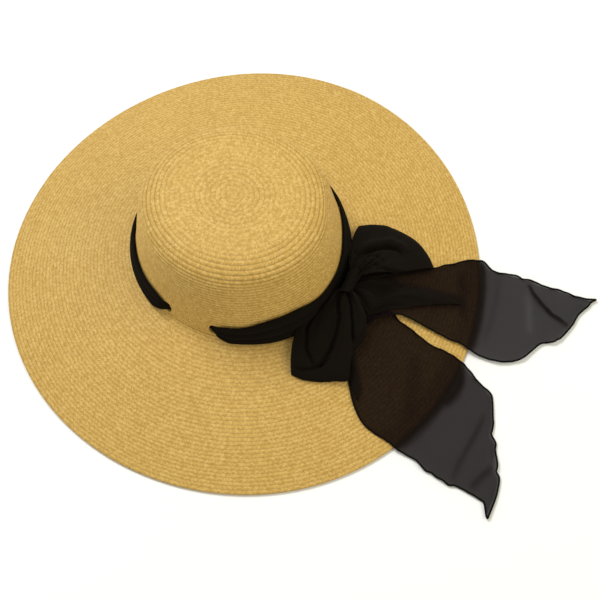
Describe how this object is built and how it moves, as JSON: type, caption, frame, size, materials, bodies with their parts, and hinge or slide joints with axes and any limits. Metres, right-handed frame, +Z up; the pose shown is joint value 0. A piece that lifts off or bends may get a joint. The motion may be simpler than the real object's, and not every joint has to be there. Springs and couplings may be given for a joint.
{
  "type": "wide-brim sun hat",
  "caption": "Wide-brim sun hat of sewn straw braid with a flat-topped oval crown and a black chiffon scarf threaded round it, tied in a bow whose sheer pointed tails lie over the brim.",
  "frame": {"origin": "middle of the hat's footprint, on the surface that the brim rests on", "axes": "+X from the crown towards the bow at the back of the hat, +Z up from the brim to the crown's tip"},
  "size_m": [0.5218, 0.4374, 0.1313],
  "materials": {
    "straw": "sewn rows of natural straw braid, low sheen",
    "chiffon": "folded black chiffon, matt, opaque in layers",
    "sheer_chiffon": "one layer of black chiffon, matt and sheer"
  },
  "bodies": {
    "root": {"crown": "straw", "brim": "straw", "scarf_band": "chiffon", "bow_knot": "chiffon", "bow_loop_upper": "chiffon", "bow_loop_lower": "chiffon", "scarf_tail_upper": "sheer_chiffon", "scarf_tail_lower": "sheer_chiffon"}
  },
  "joints": []
}
